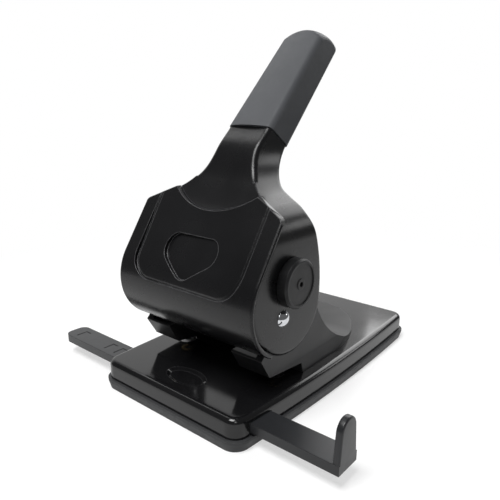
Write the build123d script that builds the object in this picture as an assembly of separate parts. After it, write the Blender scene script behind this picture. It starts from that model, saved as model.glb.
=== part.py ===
from build123d import *
import math
import os

# Heavy-duty two-hole lever punch, in millimetres.
# Frame: origin at the centre of the tray's underside, +Z up, paper goes in from the front towards +Y.
# A setback is a distance behind the tray's front edge.

# Tray and base
TRAY_LENGTH = 213.0
TRAY_END_WIDTH = 121.0
TRAY_BOW = 3.8
TRAY_CORNER = 11.0
TRAY_RIM = 7.0
TRAY_UNDERCUT = 1.4
TRAY_FLOOR = 2.0
TRAY_WALL = 2.0
RIM_WIDTH = 4.6
RIM_THICKNESS = 1.8
CLIP_LENGTH = 14.0
CLIP_THICKNESS = 1.6
CLIP_RISE = 2.5
CLIP_SETBACKS = (100.0, 176.0)
SEAT_GAP = 0.1
BASE_INSET = 1.8
BASE_HEIGHT = 12.4
BASE_WALL = 2.5
DECK_THICKNESS = 2.5
DECK_EDGE_RADIUS = 3.6
DISH_SETBACK = 21.0
DISH_LENGTH = 31.0
DISH_WIDTH = 18.0
DISH_SLOPE = 2.5
DISH_DEPTH = 1.3

# Paper guide
GUIDE_SETBACK = 21.5
GUIDE_WIDTH = 17.6
GUIDE_THICKNESS = 5.8
GUIDE_LEFT = 126.0
GUIDE_RIGHT = 116.0
GUIDE_CORNER = 5.5
STOP_THICKNESS = 4.2
STOP_HEIGHT = 23.0
STOP_TOP_RADIUS = 5.2
STOP_EDGE_RADIUS = 1.0
CHANNEL_GAUGE = 0.8
CHANNEL_RISE = 0.9
CHANNEL_END_GAP = 3.0
SLIDE_GAP = 0.15

# Punching line
HOLE_SPACING = 80.0
HOLE_MARGIN = 12.0
PIN_RADIUS = 2.75
PIN_NOTCH = 1.2
PIN_HEAD_RADIUS = 4.75
PIN_HEAD_THICKNESS = 3.5
RUNNING_GAP = 0.05
FIT_GAP = 0.03
DIE_RADIUS = 6.0
DIE_FLANGE_RADIUS = 8.5
DIE_FLANGE_THICKNESS = 3.5
GUIDE_BUSH_RADIUS = 5.0
GUIDE_BUSH_FLANGE_RADIUS = 5.8
GUIDE_BUSH_FLANGE = 1.5
SPRING_WIRE = 0.9
SPRING_RADIUS = 4.1
SPRING_TURNS = 5
SPRING_END_GAP = 0.08
SPRING_SAMPLES = 24

# Pivot and cams
PIVOT_SETBACK = 49.0
PIVOT_RISE = 44.5
LEVER_SWING = 50.0
AXLE_RADIUS = 4.0
AXLE_BUSH_RADIUS = 6.5
AXLE_BUSH_FLANGE_RADIUS = 8.5
AXLE_BUSH_FLANGE = 1.2
CAM_ARM = 12.3
CAM_LOBE_RADIUS = 5.0
CAM_HUB_RADIUS = 6.5
CAM_THICKNESS = 8.0
CAM_GAP = 0.15
CROSS_PIN_RADIUS = 1.25
PIVOT_SCREW_RADIUS = 2.5
PIVOT_SCREW_DEPTH = 9.0
PIVOT_HEAD_RADIUS = 5.4
PIVOT_HEAD_RISE = 3.0

# Frame casting
FRAME_WIDTH = 102.0
FRAME_FLARE = 2.5
FLARE_RISE = 9.5
CHEEK = 5.0
SLOT_HEIGHT = 6.0
SLOT_LEAD_IN = 2.5
BLOCK_WIDTH = 23.5
BLOCK_HEIGHT = 16.5
BLOCK_FRONT_SETBACK = 40.8
BLOCK_OVERHANG = 8.0
BLOCK_FRONT_RISE = 13.0
BOSS_RADIUS = 13.0
TOWER_ABOVE_PIVOT = 3.5
TOWER_FRONT = 8.5
BACK_WALL = 4.5
BAY_BACK = 18.5
BAY_STEP = 9.0
THROAT_WALL = 4.5
SWOOP_RADIUS = 66.0
SWOOP_END_SETBACK = 150.0
FOOT_STRAIGHT_SETBACK = 106.0
FOOT_END_SETBACK = 185.0
FOOT_THICKNESS = 1.6
FRAME_SCREW_RADIUS = 2.1
FRAME_SCREW_HEAD_RADIUS = 4.5
FRAME_SCREW_HEAD = 3.0
FRAME_SCREW_LENGTH = 9.0
FRAME_BOSS_RADIUS = 5.5
FRAME_BOSS_OVERLAP = 1.5
FRAME_SCREW_SETBACKS = (86.0, 110.0)

# Lever, cover and grip
LEVER_GAP = 0.6
LEVER_WALL = 2.5
COVER_THICKNESS = 3.0
COVER_GAP = 0.2
COVER_OVERHANG = 2.9
COVER_EDGE_RADIUS = 1.4
COVER_CORNER = 5.0
NOSE_RADIUS = 33.5
NOSE_BEHIND_PIVOT = 1.0
NOSE_ABOVE_PIVOT = 10.0
NOSE_END_ANGLE = 242.7
SHIELD_CORNER_SETBACK = 42.5
SHIELD_CORNER_RISE = 59.5
SHIELD_PEAK_HALF = 34.0
SHIELD_PEAK_RISE = 10.0
SHIELD_DIP_RISE = -0.8
PANEL_HALF_WIDTH = 45.5
PANEL_BOTTOM_RISE = 14.0
PANEL_CORNER = 17.0
GROOVE_WIDTH = 1.8
GROOVE_DEPTH = 0.8
RECESS_HALF_WIDTH = 41.5
RECESS_TOP_RISE = 44.3
RECESS_HEIGHT = 26.0
RECESS_ROUND = 8.0
RECESS_DEPTH = 1.0
HEEL_BACK = 40.4
HEEL_RISE = 8.0
HEEL_RADIUS = 18.0
HEEL_DROP = 25.8
HEEL_DROP_BACK = 9.0
BACK_OPEN_RISE = 40.0
BACK_RADIUS = 95.0
WAIST_RISE = 62.0
WAIST_RADIUS = 15.0
NECK_BACK_LEAN = 37.5
NECK_HALF_WIDTH = 17.4
NECK_FLARE_RADIUS = 30.5
NECK_FLARE_RISE = 96.0
NECK_FLARE_SWEEP = 61.0
SHOULDER_RADIUS = 23.0
NECK_BREAK = (9.1, 76.0)
NECK_BREAK_LEAN = 41.0
ROOT_LEAN = 52.0
NECK_FRONT_BEND = (20.5, 95.0)
LEVER_EDGE_RADIUS = 3.2
NECK_WALL = 3.4
NECK_CAP = 5.0
NECK_STEP = 0.6
GRIP_BACK = 41.8
GRIP_RISE = 100.8
GRIP_LEAN = 42.0
GRIP_FOOT_LEAN = 35.0
GRIP_LENGTH = 93.5
GRIP_WIDTH = 36.4
GRIP_THICKNESS = 23.4
GRIP_TOP_WIDTH = 32.0
GRIP_TOP_THICKNESS = 21.5
GRIP_CROWN = 1.5
GRIP_EDGE_RADIUS = 4.5
GRIP_SWEEP = 2.6
GRIP_DOME_RATIO = 0.58
GRIP_DOME_BACK = 9.0
GRIP_TIP_RADIUS = 3.8
GRIP_GAP = 0.1
TANG_WIDTH = 20.0
TANG_THICKNESS = 9.0
TANG_LENGTH = 62.0
TANG_ROOT = 7.0
TANG_GAP = 0.15

# Lock knob
KNOB_BACK = 7.6
KNOB_RISE = 20.8
KNOB_RADIUS = 15.0
KNOB_THICKNESS = 6.8
KNOB_BEVEL = 1.2
KNOB_RIM = 1.2
KNOB_DISH = 0.6
KNOB_HUB_RADIUS = 3.4
KNOB_HUB_RISE = 0.4
KNOB_GAP = 0.3
KNOB_CENTRE_RADIUS = 1.6
KNOB_CENTRE_DEPTH = 3.0
LOCK_SHAFT_RADIUS = 4.0
LATCH_RADIUS = 6.5
LATCH_GAP = 1.0
LATCH_THICKNESS = 4.0
LATCH_REACH = 6.5
LATCH_TIP_RADIUS = 2.5


def setback(distance):
    """Y of a point a given distance behind the tray's front edge."""
    return distance - TRAY_LENGTH / 2


# Levels and centre lines worked out from the driving sizes
BASE_BOTTOM = TRAY_RIM + SEAT_GAP
DECK_TOP = BASE_BOTTOM + BASE_HEIGHT
DECK_UNDER = DECK_TOP - DECK_THICKNESS
PIVOT_Y = setback(PIVOT_SETBACK)
PIVOT_Z = DECK_TOP + PIVOT_RISE
CAM_LIFT = math.radians(LEVER_SWING / 2)
PIN_Y = PIVOT_Y + CAM_ARM * (1 + math.cos(CAM_LIFT)) / 2
PIN_X = HOLE_SPACING / 2
THROAT_Y = PIN_Y + HOLE_MARGIN
SLOT_TOP = DECK_TOP + SLOT_HEIGHT
BLOCK_FRONT_Y = setback(BLOCK_FRONT_SETBACK)
SLOT_MOUTH = SLOT_TOP + SLOT_LEAD_IN
SLOT_AT_PIN = SLOT_TOP + SLOT_LEAD_IN * HOLE_MARGIN / (THROAT_Y - BLOCK_FRONT_Y)
BLOCK_TOP = SLOT_TOP + BLOCK_HEIGHT
PIN_HEAD_TOP = PIVOT_Z + CAM_ARM * math.sin(CAM_LIFT) - CAM_LOBE_RADIUS - CAM_GAP
CHEEK_OUT = FRAME_WIDTH / 2
CHEEK_IN = CHEEK_OUT - CHEEK
FRAME_SCREW_X = CHEEK_IN - FRAME_BOSS_RADIUS + FRAME_BOSS_OVERLAP
LEVER_IN = CHEEK_OUT + LEVER_GAP
LEVER_OUT = LEVER_IN + LEVER_WALL
NOSE_Y = PIVOT_Y + NOSE_BEHIND_PIVOT
NOSE_Z = PIVOT_Z + NOSE_ABOVE_PIVOT
GUIDE_Y = setback(GUIDE_SETBACK)
GUIDE_Z = BASE_BOTTOM + CHANNEL_RISE + CHANNEL_GAUGE + 2 * SLIDE_GAP
GUIDE_TOP = GUIDE_Z + GUIDE_THICKNESS


def polygon(*points):
    """Face inside a closed run of straight lines."""
    return make_face(Polyline(*points, close=True))


def between(profile, x_low, x_high):
    """Solid of a (y, z) side profile from one x to another."""
    return Pos(X=x_low) * extrude(Plane.YZ * profile, amount=x_high - x_low)


def across(profile, half_width):
    """Solid of a (y, z) side profile, even about the centre plane."""
    return between(profile, -half_width, half_width)


def through(profile, y_low, y_high):
    """Solid of an (x, z) front profile from one y to another."""
    return Pos(Y=y_high) * extrude(Plane.XZ * profile, amount=y_high - y_low)


def upward(profile, z_low, z_high):
    """Solid of an (x, y) plan from one level to another."""
    return Pos(Z=z_low) * extrude(profile, amount=z_high - z_low)


def rod_x(radius, x_low, x_high, y, z):
    """Round bar along X."""
    return between(Pos(y, z) * Circle(radius), x_low, x_high)


def rod_z(radius, x, y, z_low, z_high):
    """Round bar along Z."""
    return upward(Pos(x, y) * Circle(radius), z_low, z_high)


def block(x_low, x_high, y_low, y_high, z_low, z_high):
    """Square-cornered block between two corners."""
    plan = Pos((x_low + x_high) / 2, (y_low + y_high) / 2) * Rectangle(x_high - x_low, y_high - y_low)
    return upward(plan, z_low, z_high)


def from_pivot(back, rise):
    """(y, z) of a point behind and above the lever's pivot."""
    return (PIVOT_Y + back, PIVOT_Z + rise)


def footprint(inset):
    """Plan of the tray, with bowed sides and round corners, drawn in by an inset."""
    end = TRAY_END_WIDTH / 2 - inset
    middle = end + TRAY_BOW
    back = TRAY_LENGTH / 2 - inset
    edges = [
        Line((-end, -back), (end, -back)),
        ThreePointArc((end, -back), (middle, 0), (end, back)),
        Line((end, back), (-end, back)),
        ThreePointArc((-end, back), (-middle, 0), (-end, -back)),
    ]
    face = make_face(edges)
    return fillet(face.vertices(), TRAY_CORNER - inset)


def side_at(y, inset):
    """Half-width of the footprint at a given y, away from its corners."""
    end = TRAY_END_WIDTH / 2 - inset
    back = TRAY_LENGTH / 2 - inset
    radius = (back**2 + TRAY_BOW**2) / (2 * TRAY_BOW)
    return end + TRAY_BOW - radius + math.sqrt(radius**2 - y**2)


def chip_tray():
    """Plastic tray: floor, leaning outer wall, a rim that carries the base, and four snap clips."""
    shoulder = TRAY_RIM - RIM_THICKNESS
    outer = loft([footprint(TRAY_UNDERCUT), Pos(Z=shoulder) * footprint(0)], ruled=True)
    tray = outer + upward(footprint(0), shoulder, TRAY_RIM)
    tray -= upward(footprint(TRAY_UNDERCUT + TRAY_WALL), TRAY_FLOOR, shoulder)
    tray -= upward(footprint(RIM_WIDTH), shoulder, TRAY_RIM)
    inside = BASE_INSET + BASE_WALL + SLIDE_GAP
    for clip in CLIP_SETBACKS:
        y = setback(clip)
        near = min(side_at(y - CLIP_LENGTH / 2, inside), side_at(y + CLIP_LENGTH / 2, inside))
        for side in (-1, 1):
            x_low, x_high = sorted((side * near, side * (near - CLIP_THICKNESS)))
            tray += block(
                x_low, x_high, y - CLIP_LENGTH / 2, y + CLIP_LENGTH / 2, TRAY_FLOOR, TRAY_RIM + CLIP_RISE
            )
    return tray


def base_shell():
    """Pressed base: deck, rolled edge and skirt, with the guide's windows, die holes and the front dish."""
    shell = upward(footprint(BASE_INSET), BASE_BOTTOM, DECK_TOP)
    shell = fillet(shell.edges().group_by(Axis.Z)[-1], DECK_EDGE_RADIUS)
    shell -= upward(footprint(BASE_INSET + BASE_WALL), BASE_BOTTOM, DECK_UNDER)
    window = GUIDE_WIDTH / 2 + 2 * SLIDE_GAP
    shell -= block(
        -TRAY_END_WIDTH,
        TRAY_END_WIDTH,
        GUIDE_Y - window,
        GUIDE_Y + window,
        BASE_BOTTOM,
        GUIDE_TOP + 2 * SLIDE_GAP,
    )
    for side in (-1, 1):
        shell -= rod_z(DIE_RADIUS + FIT_GAP, side * PIN_X, PIN_Y, DECK_UNDER, DECK_TOP)
        for screw in FRAME_SCREW_SETBACKS:
            x = side * FRAME_SCREW_X
            shell -= rod_z(FRAME_SCREW_RADIUS + FIT_GAP, x, setback(screw), DECK_UNDER, DECK_TOP)
    mouth = Pos(0, setback(DISH_SETBACK), DECK_TOP) * Ellipse(DISH_LENGTH / 2, DISH_WIDTH / 2)
    bed = Pos(0, setback(DISH_SETBACK), DECK_TOP - DISH_DEPTH) * Ellipse(
        DISH_LENGTH / 2 - DISH_SLOPE, DISH_WIDTH / 2 - DISH_SLOPE
    )
    return shell - loft([bed, mouth], ruled=True)


def guide_channel():
    """Bent strip under the deck that carries the paper guide."""
    inner = GUIDE_WIDTH / 2 + SLIDE_GAP
    outer = inner + CHANNEL_GAUGE
    floor_top = GUIDE_Z - SLIDE_GAP
    floor = floor_top - CHANNEL_GAUGE
    section = polygon(
        (GUIDE_Y - outer, floor),
        (GUIDE_Y + outer, floor),
        (GUIDE_Y + outer, DECK_UNDER),
        (GUIDE_Y + inner, DECK_UNDER),
        (GUIDE_Y + inner, floor_top),
        (GUIDE_Y - inner, floor_top),
        (GUIDE_Y - inner, DECK_UNDER),
        (GUIDE_Y - outer, DECK_UNDER),
    )
    length = side_at(GUIDE_Y - outer, BASE_INSET + BASE_WALL) - CHANNEL_END_GAP
    return across(section, length)


def guide_rule():
    """Sliding paper guide: flat bar with an upright tongue at its right end."""
    low, high = GUIDE_Y - GUIDE_WIDTH / 2, GUIDE_Y + GUIDE_WIDTH / 2
    bar = block(-GUIDE_LEFT, GUIDE_RIGHT, low, high, GUIDE_Z, GUIDE_TOP)
    bar = fillet(bar.edges().filter_by(Axis.Z).group_by(Axis.X)[0], GUIDE_CORNER)
    top = GUIDE_TOP + STOP_HEIGHT
    crown = top - STOP_TOP_RADIUS
    tongue = make_face(
        [
            Line((low, GUIDE_Z), (high, GUIDE_Z)),
            Line((high, GUIDE_Z), (GUIDE_Y + STOP_TOP_RADIUS, crown)),
            ThreePointArc(
                (GUIDE_Y + STOP_TOP_RADIUS, crown), (GUIDE_Y, top), (GUIDE_Y - STOP_TOP_RADIUS, crown)
            ),
            Line((GUIDE_Y - STOP_TOP_RADIUS, crown), (low, GUIDE_Z)),
        ]
    )
    stop = between(tongue, GUIDE_RIGHT - STOP_THICKNESS, GUIDE_RIGHT)
    rim = [
        edge
        for edge in stop.edges()
        if edge.center().Z > GUIDE_TOP and edge.length > STOP_THICKNESS + SLIDE_GAP
    ]
    return bar + fillet(rim, STOP_EDGE_RADIUS)


def swoop(extra):
    """Ends and middle of the frame's concave back, with its radius grown by extra, and its centre."""
    centre_y = setback(SWOOP_END_SETBACK)
    centre_z = DECK_TOP + FOOT_THICKNESS + SWOOP_RADIUS
    radius = SWOOP_RADIUS + extra

    def at_height(z):
        return math.acos((centre_z - z) / radius)

    def at_angle(angle):
        return (centre_y - radius * math.sin(angle), centre_z - radius * math.cos(angle))

    return at_height, at_angle


def punch_frame():
    """Casting with two cheeks, two pin-guide blocks over the paper slot and a concave back."""
    top = PIVOT_Z + TOWER_ABOVE_PIVOT
    front = PIVOT_Y - TOWER_FRONT
    foot = DECK_TOP + FOOT_THICKNESS
    at_height, at_angle = swoop(0)
    crest = at_height(top)
    end = setback(FOOT_END_SETBACK)
    lip = BLOCK_FRONT_Y - BLOCK_OVERHANG
    lip_z = SLOT_MOUTH + BLOCK_FRONT_RISE
    edges = [
        Polyline(
            at_angle(crest),
            (front, top),
            (front, lip_z + front - lip),
            (lip, lip_z),
            (BLOCK_FRONT_Y, SLOT_MOUTH),
            (THROAT_Y, SLOT_TOP),
            (THROAT_Y, DECK_TOP),
            (end, DECK_TOP),
            (end, foot),
            at_angle(0),
        ),
        ThreePointArc(at_angle(0), at_angle(crest / 2), at_angle(crest)),
    ]
    side = make_face(edges) + Pos(PIVOT_Y, PIVOT_Z) * Circle(BOSS_RADIUS)
    flare = CHEEK_OUT + FRAME_FLARE
    straight = setback(FOOT_STRAIGHT_SETBACK)
    plan = Pos(0, (lip + straight) / 2) * Rectangle(2 * flare, straight - lip)
    plan += Pos(0, straight) * Ellipse(flare, end - straight)
    ceiling = PIVOT_Z + BOSS_RADIUS
    face = polygon(
        (-flare, DECK_TOP),
        (flare, DECK_TOP),
        (CHEEK_OUT, DECK_TOP + FLARE_RISE),
        (CHEEK_OUT, ceiling),
        (-CHEEK_OUT, ceiling),
        (-CHEEK_OUT, DECK_TOP + FLARE_RISE),
    )
    frame = across(side, flare) & upward(plan, DECK_TOP, ceiling) & through(face, lip, end)

    # Bay for the cams and springs, the gap between the guide blocks, and the hollow under the back
    bay_back = PIN_Y + BAY_BACK
    step = PIVOT_Z - BAY_STEP
    frame -= block(-CHEEK_IN, CHEEK_IN, lip, THROAT_Y, BLOCK_TOP, ceiling)
    frame -= block(-CHEEK_IN, CHEEK_IN, lip, bay_back, step, ceiling)
    inner = CHEEK_OUT - BLOCK_WIDTH
    frame -= block(-inner, inner, lip, THROAT_Y, DECK_TOP, BLOCK_TOP)
    under_height, under_angle = swoop(BACK_WALL)
    high, low = under_height(step - BACK_WALL), under_height(DECK_TOP)
    hollow = make_face(
        [
            Polyline(
                under_angle(high),
                (THROAT_Y + THROAT_WALL, step - BACK_WALL),
                (THROAT_Y + THROAT_WALL, DECK_TOP),
                under_angle(low),
            ),
            ThreePointArc(under_angle(low), under_angle((low + high) / 2), under_angle(high)),
        ]
    )
    frame -= across(hollow, CHEEK_IN)

    # Bores for the axle bushes, the pin guides and the screws
    frame -= rod_x(AXLE_BUSH_RADIUS + FIT_GAP, -CHEEK_OUT, CHEEK_OUT, PIVOT_Y, PIVOT_Z)
    for hand in (-1, 1):
        frame -= rod_z(GUIDE_BUSH_RADIUS + FIT_GAP, hand * PIN_X, PIN_Y, DECK_TOP, BLOCK_TOP)
        for screw in FRAME_SCREW_SETBACKS:
            x, y = hand * FRAME_SCREW_X, setback(screw)
            boss_top = DECK_TOP + FRAME_SCREW_LENGTH + FRAME_SCREW_RADIUS
            frame += rod_z(FRAME_BOSS_RADIUS, x, y, DECK_TOP, boss_top)
            frame -= rod_z(FRAME_SCREW_RADIUS, x, y, DECK_TOP, DECK_TOP + FRAME_SCREW_LENGTH)
    return frame


def frame_screws():
    """Four screws up through the deck into the frame."""
    screws = []
    for hand in (-1, 1):
        for screw in FRAME_SCREW_SETBACKS:
            x, y = hand * FRAME_SCREW_X, setback(screw)
            shank = rod_z(FRAME_SCREW_RADIUS, x, y, DECK_UNDER, DECK_TOP + FRAME_SCREW_LENGTH)
            head = rod_z(FRAME_SCREW_HEAD_RADIUS, x, y, DECK_UNDER - FRAME_SCREW_HEAD, DECK_UNDER)
            screws.append(head + shank)
    return Compound(screws)


def die(hand):
    """Hardened die under the deck, its neck flush with the paper surface."""
    x = hand * PIN_X
    button = rod_z(DIE_FLANGE_RADIUS, x, PIN_Y, DECK_UNDER - DIE_FLANGE_THICKNESS, DECK_UNDER)
    button += rod_z(DIE_RADIUS, x, PIN_Y, DECK_UNDER, DECK_TOP)
    bore = rod_z(PIN_RADIUS + RUNNING_GAP, x, PIN_Y, DECK_UNDER - DIE_FLANGE_THICKNESS, DECK_TOP)
    return button - bore


def pin_guide(hand):
    """Flanged bush in the frame's block that guides a punch pin."""
    x = hand * PIN_X
    bush = rod_z(GUIDE_BUSH_RADIUS, x, PIN_Y, SLOT_AT_PIN, BLOCK_TOP)
    bush += rod_z(GUIDE_BUSH_FLANGE_RADIUS, x, PIN_Y, BLOCK_TOP, BLOCK_TOP + GUIDE_BUSH_FLANGE)
    return bush - rod_z(PIN_RADIUS + RUNNING_GAP, x, PIN_Y, SLOT_AT_PIN, BLOCK_TOP + GUIDE_BUSH_FLANGE)


def punch_pin(hand):
    """Cutter with a flat head and a V-notched cutting end."""
    x = hand * PIN_X
    pin = rod_z(PIN_RADIUS, x, PIN_Y, SLOT_AT_PIN, PIN_HEAD_TOP)
    pin += rod_z(PIN_HEAD_RADIUS, x, PIN_Y, PIN_HEAD_TOP - PIN_HEAD_THICKNESS, PIN_HEAD_TOP)
    notch = polygon(
        (PIN_Y - PIN_RADIUS, SLOT_AT_PIN),
        (PIN_Y, SLOT_AT_PIN + PIN_NOTCH),
        (PIN_Y + PIN_RADIUS, SLOT_AT_PIN),
    )
    return pin - between(notch, x - PIN_RADIUS, x + PIN_RADIUS)


def biarc(start, start_way, end, end_way):
    """Two arcs that leave start and reach end along the given unit directions."""
    span = end - start
    a = 2 * start_way.dot(end_way) - 2
    b = -2 * span.dot(start_way + end_way)
    reach = (-b - math.sqrt(b * b - 4 * a * span.dot(span))) / (2 * a)
    joint = (start + start_way * reach + end - end_way * reach) * 0.5
    middle_way = (end - end_way * reach - joint).normalized()
    return [TangentArc(start, joint, tangent=start_way), TangentArc(joint, end, tangent=middle_way)]


def return_spring(hand):
    """Coil spring round a pin, between its guide's flange and its head."""
    bottom = BLOCK_TOP + GUIDE_BUSH_FLANGE + SPRING_END_GAP + SPRING_WIRE / 2
    top = PIN_HEAD_TOP - PIN_HEAD_THICKNESS - SPRING_END_GAP - SPRING_WIRE / 2
    pitch = (top - bottom) / SPRING_TURNS

    def point(quarter):
        angle = quarter * math.pi / 2
        return Vector(
            hand * PIN_X + SPRING_RADIUS * math.cos(angle),
            PIN_Y + SPRING_RADIUS * math.sin(angle),
            bottom + pitch * quarter / 4,
        )

    def way(quarter):
        angle = quarter * math.pi / 2
        return Vector(
            -SPRING_RADIUS * math.sin(angle), SPRING_RADIUS * math.cos(angle), pitch / (2 * math.pi)
        ).normalized()

    edges = []
    for quarter in range(4 * SPRING_TURNS):
        edges += biarc(point(quarter), way(quarter), point(quarter + 1), way(quarter + 1))
    path = Wire([edge.edge() for edge in edges])
    start = Plane(origin=point(0), z_dir=way(0))
    count = SPRING_SAMPLES * SPRING_TURNS
    line = [path @ (step / count) for step in range(count + 1)]
    apart = SPRING_SAMPLES // 2
    nearest = min((a - b).length for i, a in enumerate(line) for b in line[i + apart :])
    print("return spring, least gap to itself", round(nearest - SPRING_WIRE, 2))
    return sweep(start * Circle(SPRING_WIRE / 2), path=path)


def pivot_axle():
    """Axle that turns with the lever, tapped at both ends and drilled for the cams' cross pins."""
    axle = rod_x(AXLE_RADIUS, -LEVER_IN, LEVER_IN, PIVOT_Y, PIVOT_Z)
    for hand in (-1, 1):
        inner, outer = sorted((hand * (LEVER_IN - PIVOT_SCREW_DEPTH), hand * LEVER_IN))
        axle -= rod_x(PIVOT_SCREW_RADIUS, inner, outer, PIVOT_Y, PIVOT_Z)
        axle -= rod_z(CROSS_PIN_RADIUS, hand * PIN_X, PIVOT_Y, PIVOT_Z - AXLE_RADIUS, PIVOT_Z + AXLE_RADIUS)
    return axle


def axle_bush(hand):
    """Flanged bearing in a frame cheek."""
    inner, outer = sorted((hand * CHEEK_IN, hand * CHEEK_OUT))
    flange = sorted((hand * CHEEK_IN, hand * (CHEEK_IN - AXLE_BUSH_FLANGE)))
    bush = rod_x(AXLE_BUSH_RADIUS, inner, outer, PIVOT_Y, PIVOT_Z)
    bush += rod_x(AXLE_BUSH_FLANGE_RADIUS, *flange, PIVOT_Y, PIVOT_Z)
    bore = AXLE_RADIUS + RUNNING_GAP
    return bush - rod_x(bore, -CHEEK_OUT, CHEEK_OUT, PIVOT_Y, PIVOT_Z)


def cam(hand):
    """Hooked cam: a hub on the axle and a lobe that bears on a pin's head from above."""
    lobe_y = PIVOT_Y + CAM_ARM * math.cos(CAM_LIFT)
    lobe_z = PIVOT_Z + CAM_ARM * math.sin(CAM_LIFT)
    low = lobe_z - CAM_LOBE_RADIUS
    lean = CAM_LIFT + math.pi / 2
    neck = polygon(
        (PIVOT_Y, low),
        (lobe_y, low),
        (lobe_y + CAM_LOBE_RADIUS * math.cos(lean), lobe_z + CAM_LOBE_RADIUS * math.sin(lean)),
        (PIVOT_Y + CAM_HUB_RADIUS * math.cos(lean), PIVOT_Z + CAM_HUB_RADIUS * math.sin(lean)),
    )
    hub = Pos(PIVOT_Y, PIVOT_Z) * Circle(CAM_HUB_RADIUS)
    lobe = Pos(lobe_y, lobe_z) * Circle(CAM_LOBE_RADIUS)
    profile = hub + neck + lobe - Pos(PIVOT_Y, PIVOT_Z) * Circle(AXLE_RADIUS + FIT_GAP)
    x = hand * PIN_X
    plate = between(profile, x - CAM_THICKNESS / 2, x + CAM_THICKNESS / 2)
    return plate - rod_z(CROSS_PIN_RADIUS, x, PIVOT_Y, PIVOT_Z - CAM_HUB_RADIUS, PIVOT_Z + CAM_HUB_RADIUS)


def cam_cross_pins():
    """Pins through hub and axle that fix the cams."""
    low, high = PIVOT_Z - CAM_HUB_RADIUS, PIVOT_Z + CAM_HUB_RADIUS
    return Compound([rod_z(CROSS_PIN_RADIUS, hand * PIN_X, PIVOT_Y, low, high) for hand in (-1, 1)])


def pivot_screw(hand):
    """Dome-headed screw that clamps a lever wall to the axle's end."""
    bulge = (PIVOT_HEAD_RADIUS**2 + PIVOT_HEAD_RISE**2) / (2 * PIVOT_HEAD_RISE)
    turn = math.asin(PIVOT_HEAD_RADIUS / bulge) / 2
    tip = LEVER_OUT + PIVOT_HEAD_RISE
    crown = (tip - bulge + bulge * math.cos(turn), bulge * math.sin(turn))
    inner = LEVER_IN - PIVOT_SCREW_DEPTH
    half = make_face(
        [
            ThreePointArc((tip, 0), crown, (LEVER_OUT, PIVOT_HEAD_RADIUS)),
            Polyline(
                (LEVER_OUT, PIVOT_HEAD_RADIUS),
                (LEVER_OUT, PIVOT_SCREW_RADIUS),
                (inner, PIVOT_SCREW_RADIUS),
                (inner, 0),
                (tip, 0),
            ),
        ]
    )
    screw = Pos(0, PIVOT_Y, PIVOT_Z) * revolve(half, Axis.X)
    return screw if hand > 0 else mirror(screw, about=Plane.YZ)


def shield_line():
    """Top corner of the cover's outer face, its lean from the vertical, and the unit way up it."""
    corner_y, corner_z = setback(SHIELD_CORNER_SETBACK), PIVOT_Z + SHIELD_CORNER_RISE
    away = math.hypot(NOSE_Y - corner_y, corner_z - NOSE_Z)
    lean = math.asin(NOSE_RADIUS / away) - math.atan2(NOSE_Y - corner_y, corner_z - NOSE_Z)
    return corner_y, corner_z, lean


def shield_point(depth, z):
    """(y, z) on the flat of the shield, a depth behind its outer face."""
    corner_y, corner_z, lean = shield_line()
    return (corner_y + depth / math.cos(lean) + (z - corner_z) * math.tan(lean), z)


def nose_point(depth, angle):
    """(y, z) on the round of the nose, a depth behind its outer face."""
    turn = math.radians(angle)
    radius = NOSE_RADIUS - depth
    return (NOSE_Y + radius * math.cos(turn), NOSE_Z + radius * math.sin(turn))


def nose_run(depth, top):
    """Edges down the shield from a given height and round the nose to its lower end."""
    lean = math.degrees(shield_line()[2])
    tangent = 180 - lean
    return [
        Line(shield_point(depth, top), nose_point(depth, tangent)),
        ThreePointArc(
            nose_point(depth, tangent),
            nose_point(depth, (tangent + NOSE_END_ANGLE) / 2),
            nose_point(depth, NOSE_END_ANGLE),
        ),
    ]


def nose_layer(depth_out, depth_in, top):
    """Side profile of the cover between two depths."""
    outer, inner = nose_run(depth_out, top), nose_run(depth_in, top)
    ends = [
        Line(shield_point(depth_out, top), shield_point(depth_in, top)),
        Line(nose_point(depth_out, NOSE_END_ANGLE), nose_point(depth_in, NOSE_END_ANGLE)),
    ]
    return make_face(outer + inner + ends)


def shield_dip(clearance):
    """Arc in front view that parts the cover from the neck's root."""
    corner_z = PIVOT_Z + SHIELD_CORNER_RISE
    peak = corner_z + SHIELD_PEAK_RISE
    dip = corner_z + SHIELD_DIP_RISE
    return (
        (-SHIELD_PEAK_HALF, peak + clearance),
        (0, dip + clearance),
        (SHIELD_PEAK_HALF, peak + clearance),
    )


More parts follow.
